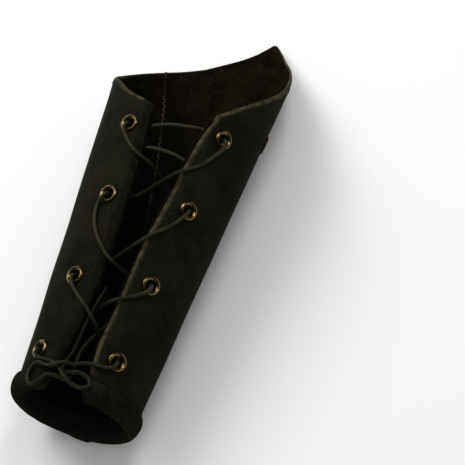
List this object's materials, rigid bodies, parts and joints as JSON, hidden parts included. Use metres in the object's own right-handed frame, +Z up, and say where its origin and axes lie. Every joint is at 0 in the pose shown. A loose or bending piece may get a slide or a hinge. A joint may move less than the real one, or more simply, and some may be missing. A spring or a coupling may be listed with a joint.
{
  "type": "leather bracer",
  "caption": "Tapered armour-leather bracer for the left forearm, laced along one side with a round lace, with a pointed elbow peak and a padded suede wrist roll.",
  "frame": {"origin": "on the surface that the bracer lies on, under the centre of its bounding box", "axes": "+Y runs from the wrist end to the elbow end, and +Z points up, out of the laced slit"},
  "size_m": [0.0966, 0.2784, 0.0893],
  "materials": {
    "armour_leather": "waxed near-black olive grain leather with worn edges",
    "suede": "dark brown suede, matt and napped",
    "brass": "antique brass, worn bright on its rims",
    "lace_leather": "round dark leather lace, satin"
  },
  "bodies": {
    "root": {"leather_shell": "armour_leather", "suede_lining": "suede", "wrist_binding": "suede", "eyelet_left_1": "brass", "eyelet_right_1": "brass", "eyelet_left_2": "brass", "eyelet_right_2": "brass", "eyelet_left_3": "brass", "eyelet_right_3": "brass", "eyelet_left_4": "brass", "eyelet_right_4": "brass", "rivet_peak": "brass", "rivet_near_side": "brass", "rivet_far_side": "brass", "lace": "lace_leather"}
  },
  "joints": []
}
